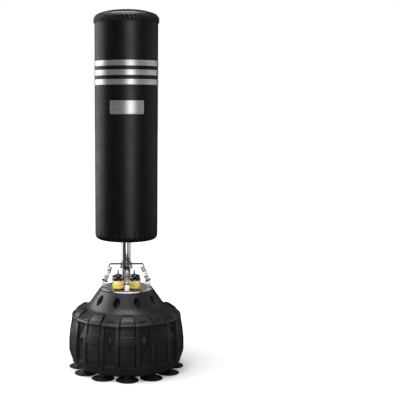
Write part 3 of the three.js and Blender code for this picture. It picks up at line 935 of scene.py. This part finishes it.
def seam_strip():
    """A strip of leather sewn down the back of the cover, with a dip under each row of stitches."""
    half = [(0, 1), (7.8, 0.9), (SEAM_STITCH, 0.55), (9.4, 0.9), (11, 0.95), (12.2, 0.7), (12.5, 0)]
    edges = [(-x, lift) for x, lift in half[:0:-1]] + half
    section = edges + [(x, -0.5) for x, _ in edges[::-1]]
    angles = np.array([FRONT + math.pi + x / BAG_RADIUS for x, _ in section])
    lifts = np.array([lift for _, lift in section])
    heights = np.linspace(668, 1690, 120)
    points = []
    for z in heights:
        radii = cover_change(angles, np.full(len(section), float(BAG_RADIUS)), z) + lifts
        points += [(r * math.cos(a), r * math.sin(a), z) for r, a in zip(radii, angles)]
    return closed(points, len(section))


def seam_stitches():
    """Two rows of stitches down the strip, left out under the silver stripes."""
    stitch = [(-0.2, -2.9), (0.8, -1.7), (0.8, 1.7), (-0.2, 2.9)]
    stitches = []
    for z in np.arange(678, 1684, 8):
        if any(top - STRIPE_WIDTH - 4 < z < top + 4 for top in STRIPE_TOPS):
            continue
        path = [(BAG_RADIUS + lift, 0, z + rise) for lift, rise in stitch]
        for x in (-SEAM_STITCH, SEAM_STITCH):
            stitches.append(moved(tube(path, 0.6, 6, (1, 0, 0)), spin(FRONT + math.pi + x / BAG_RADIUS)))
    return together(*stitches)


add("back_seam_strip", seam_strip(), "rim_leather_painted_paler", "bag", "bag_leather", sharp=60)
add("back_seam_stitches", seam_stitches(), "seam_thread", "bag", "bag_leather", sharp=60)

DOME = [
    (0, 1704.3), (152.6, 1704.3), (153, 1712), (150.5, 1719), (145, 1725), (135, 1730),
    (122, 1734.5), (104, 1739.5), (84, 1743.5), (56, 1747), (28, 1749.2), (0, 1750),
]
top_part = revolve(rounded(DOME, 6, steps=4), BAG_SEGMENTS)
padded_top = add("padded_top_leather", top_part, "dome_leather", "bag", "bag_leather", "padded_top", sharp=60)

RIM_LACES = 49
RIM_SLANT = 0.65


def rim_part():
    """A padded edge, gathered by slanting laces, with a hem along its bottom."""
    rows = [(153.4, 1686), (156.6, 1685.6), (158.4, 1686.8), (158, 1688.6), (156.8, 1689.6)]
    rows += [(157.2, 1691), (158, 1694), (158.4, 1699), (158, 1704.5), (156.8, 1709), (154.8, 1713)]
    rows += [(151.5, 1716.5), (147.5, 1719.8), (146, 1719), (152, 1712), (153.4, 1706)]
    fine = rounded(rows, 1.2, ring=True, steps=2)
    points, faces = revolve(fine, RIM_LACES * 12, ring=True)
    points = [spin((1694 - z) * RIM_SLANT / BAG_RADIUS) @ Vector((x, y, z)) for x, y, z in points]

    def gather(angle, radius, z):
        phase = RIM_LACES * (angle - FRONT) + (z - 1694) * RIM_LACES * RIM_SLANT / BAG_RADIUS
        valley = np.clip(np.sin(phase), 0, 1) ** 2
        laced = plateau(z, 1689, 1691.5, 1714, 1720) * (radius > 154)
        hem = np.exp(-(((z - 1687) / 1.8) ** 2)) * (radius > 156)
        dots = np.clip(np.sin(2 * RIM_LACES * (angle - FRONT)), 0, 1) ** 2
        return radius - 4.6 * valley * laced - 1.4 * dots * hem

    return reshape((points, faces), gather)


rim = add("rim_band_laced", rim_part(), "rim_leather_painted_paler", "bag", "bag_leather", "rim_band", sharp=60)

for i, top in enumerate(STRIPE_TOPS):
    name = f"stripe_{i + 1}"
    film = revolve(tube_ring(153.3, 154.3, top - STRIPE_WIDTH, top, 0.35), BAG_SEGMENTS, ring=True)
    add(f"{name}_film", film, "silver_film", "bag", "silver_film", name)


def patch_part():
    """A plain plate with rounded corners and a raised border, bent round the front of the bag."""
    corner, half = 5, PATCH_HALF
    middle = (PATCH_LOW + PATCH_HIGH) / 2
    tall = (PATCH_HIGH - PATCH_LOW) / 2
    quarter = [(math.cos(t), math.sin(t)) for t in np.linspace(0, math.pi / 2, 7)]
    outline = []
    for k, (sx, sy) in enumerate(((1, 1), (-1, 1), (-1, -1), (1, -1))):
        arc = quarter if k % 2 == 0 else quarter[::-1]
        outline += [(sx * (half - corner + corner * c), sy * (tall - corner + corner * s)) for c, s in arc]
    outline, dense = np.array(outline), []
    for a, b in zip(outline, np.roll(outline, -1, 0)):
        pieces = max(1, round(math.dist(a, b) / 4))
        dense += [a + (b - a) * i / pieces for i in range(pieces)]
    dense = np.array(dense)
    rings = [(1, 0), (1, 1.1), (0.985, 1.5), (0.965, 1.5), (0.95, 1.1), (0.9, 1.1)]
    rings += [(share, 1.1) for share in np.arange(0.8, 0.05, -0.1)]
    points = []
    for share, lift in rings:
        inset = np.array([half - (1 - share) * 60, tall - (1 - share) * 60]) / np.array([half, tall])
        inset = inset if share > 0.94 else np.array([share, share])
        for x, z in dense * inset:
            radius = BAG_RADIUS + 0.6 + lift
            angle = FRONT + x / BAG_RADIUS
            points.append((radius * math.cos(angle), radius * math.sin(angle), middle + z))
    return closed(points, len(dense))


add("name_patch_plain", patch_part(), "silver_film", "bag", "silver_film", "name_patch", sharp=40)


# ---- Studio ----


def area_light(name, location, target, width, height, radiance, only):
    """A rectangular soft box, not seen by the camera, that lights the pieces of one collection only."""
    data = bpy.data.lights.new(name, "AREA")
    data.shape = "RECTANGLE"
    data.size, data.size_y = width, height
    data.energy = radiance * math.pi * width * height
    light = bpy.data.objects.new(name, data)
    light.location = location
    aim = Vector(target) - Vector(location)
    light.rotation_euler = aim.to_track_quat("-Z", "Y").to_euler()
    light.visible_camera = False
    bpy.context.scene.collection.objects.link(light)
    light.light_linking.receiver_collection = only


def dome_lights(only):
    """An arc of soft boxes over and behind the bag, that draws a band round the front of the domed top."""
    seen_from = Vector((0, -0.9945, 0.1045))  # from the dome to the viewer
    dome, distance = Vector((0, 0, 1.7)), 2.7
    for turn, radiance in ((-42, 1.2), (-28, 4), (-14, 9), (0, 12), (14, 8), (28, 2)):
        a, slope = math.radians(turn), math.radians(36)
        normal = Vector((math.sin(a) * math.sin(slope), -math.cos(a) * math.sin(slope), math.cos(slope)))
        way = 2 * normal.dot(seen_from) * normal - seen_from
        area_light(f"dome_light_{turn}", dome + distance * way, dome, 0.9, 0.9, radiance, only)


def upright_light(name, azimuth, distance, low, high, width, radiance, only):
    """An upright soft box that faces the bag. The azimuth runs from the front to the right, in degrees."""
    a = math.radians(azimuth)
    x, y, z = distance * math.sin(a), -distance * math.cos(a), (low + high) / 2
    area_light(name, (x, y, z), (0, 0, z), width, high - low, radiance, only)


def make_floor():
    """A pale floor that glows more with distance, so that it runs into the white behind the bag."""
    mesh = bpy.data.meshes.new("floor")
    reach = 40
    corners = [(-reach, -reach, 0), (reach, -reach, 0), (reach, reach, 0), (-reach, reach, 0)]
    mesh.from_pydata(corners, [], [(0, 1, 2, 3)])
    more = {"Specular IOR Level": 0.0, "Emission Strength": 1.0}
    finish = Finish("floor", (0.86, 0.86, 0.86), 0.9, more=more)
    finish.color(finish.noise(1.5, 2), (0.3, 0.85), (0.7, 0.87))
    distance = finish.node("ShaderNodeVectorMath", {0: finish.place}, operation="LENGTH").outputs["Value"]
    near = finish.times(distance, 0.2)
    finish.use("Emission Color", finish.ramp(near, (0.08, 0.32), (0.4, 1.0)))
    mesh.materials.append(finish.material)
    floor = bpy.data.objects.new("floor", mesh)
    bpy.context.scene.collection.objects.link(floor)
    floor.visible_glossy = False
    floor.visible_diffuse = False
    floor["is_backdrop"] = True
    alone = bpy.data.collections.new("floor_alone")
    alone.objects.link(floor)
    area_light("floor_light", (-0.8, -0.5, 4.4), (0, 0, 0), 2.6, 2.6, 9, alone)


def make_world():
    """White behind the bag, and a dim even glow for the light that falls on it."""
    world = bpy.data.worlds.new("studio")
    bpy.context.scene.world = world
    world.use_nodes = True
    tree = world.node_tree
    tree.nodes.clear()
    ray = tree.nodes.new("ShaderNodeLightPath").outputs

    def glow(strength):
        node = tree.nodes.new("ShaderNodeBackground")
        node.inputs["Color"].default_value = (1, 1, 1, 1)
        node.inputs["Strength"].default_value = strength
        return node.outputs[0]

    def choose(test, otherwise, where_true):
        node = tree.nodes.new("ShaderNodeMixShader")
        for socket, source in zip(node.inputs, (test, otherwise, where_true)):
            tree.links.new(source, socket)
        return node.outputs[0]

    falling = choose(ray["Is Glossy Ray"], glow(0.2), glow(0.05))
    seen = choose(ray["Is Camera Ray"], falling, glow(1.0))
    tree.links.new(seen, tree.nodes.new("ShaderNodeOutputWorld").inputs["Surface"])


def lit_together(name, *finishes):
    """A group of the pieces with these finishes, so that lights can be aimed at them alone."""
    group = bpy.data.collections.new(name)
    materials = {MATERIALS[finish] for finish in finishes}
    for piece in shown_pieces():
        if piece.data.materials and piece.data.materials[0] in materials:
            group.objects.link(piece)
    return group


# The upright lights of each group: azimuth, distance, low edge, high edge, width and radiance.
UPRIGHT_LIGHTS = {
    "leather": [
        (-118, 3.6, 0.1, 3.8, 3.8, 1.5),
        (14, 5.2, 0.02, 4.2, 1.9, 3.2),
        (105, 3.6, 0.1, 2.9, 4.0, 0.22),
    ],
    "silver": [
        (-118, 3.6, 0.1, 3.8, 3.8, 1.7),
        (-40, 3.6, 0.1, 3.4, 3.4, 0.13),
        (14, 5.2, 0.02, 3.0, 1.9, 2.8),
        (58, 3.6, 0.1, 3.4, 2.4, 0.2),
        (105, 3.6, 0.1, 2.9, 4.0, 0.42),
    ],
    "base": [
        (-108, 2.6, 0.1, 3.8, 2.6, 3.6),
        (-20, 3.2, 0.6, 2.8, 2.0, 2.2),
        (105, 2.6, 0.1, 1.8, 1.6, 0.6),
    ],
    "amber": [
        (-35, 2.2, 0.5, 2.4, 2.0, 7.0),
        (60, 2.2, 0.5, 2.0, 1.4, 3.0),
    ],
    "metal": [
        (-110, 1.6, 0.02, 1.7, 1.5, 1.05),
        (-156, 1.9, 0.02, 1.7, 1.45, 0.5),
        (2, 1.8, 0.02, 1.7, 0.9, 1.4),
        (62, 1.8, 0.02, 1.7, 1.4, 0.55),
        (125, 1.6, 0.02, 1.7, 1.6, 1.0),
    ],
    "coil": [
        (-38, 1.8, 0.3, 2.6, 2.2, 1.1),
        (38, 1.8, 0.3, 2.6, 2.2, 0.9),
    ],
    "satin": [
        (0, 0.95, 0.02, 0.7, 2.6, 1.6),
        (-118, 1.6, 0.02, 1.7, 2.1, 0.7),
        (110, 1.6, 0.02, 1.7, 2.1, 0.6),
        (180, 1.8, 0.9, 2.4, 1.6, 0.45),
    ],
}
LIT_FINISHES = {
    "leather": ["bag_leather", "rim_leather_painted_paler", "dome_leather", "seam_thread"],
    "silver": ["silver_film"],
    "base": ["moulded_plastic", "black_rubber", "white_plastic"],
    "amber": ["amber_tpu"],
    "metal": ["chrome", "dark_chrome", "black_oxide", "coil_plating", "spring_steel"],
    "coil": ["coil_plating"],
    "satin": ["satin_plating", "bracket_plating"],
}


def make_lights():
    groups = {name: lit_together(f"{name}_pieces", *finishes) for name, finishes in LIT_FINISHES.items()}
    for name, rows in UPRIGHT_LIGHTS.items():
        for number, row in enumerate(rows, 1):
            upright_light(f"{name}_light_{number}", *row, groups[name])
    dome_lights(groups["leather"])
    area_light("base_top", (0, -0.6, 4.2), (0, 0, 0.2), 2.4, 2.4, 5, groups["base"])


make_floor()
make_world()
make_lights()
bpy.context.scene.view_settings.view_transform = "Standard"
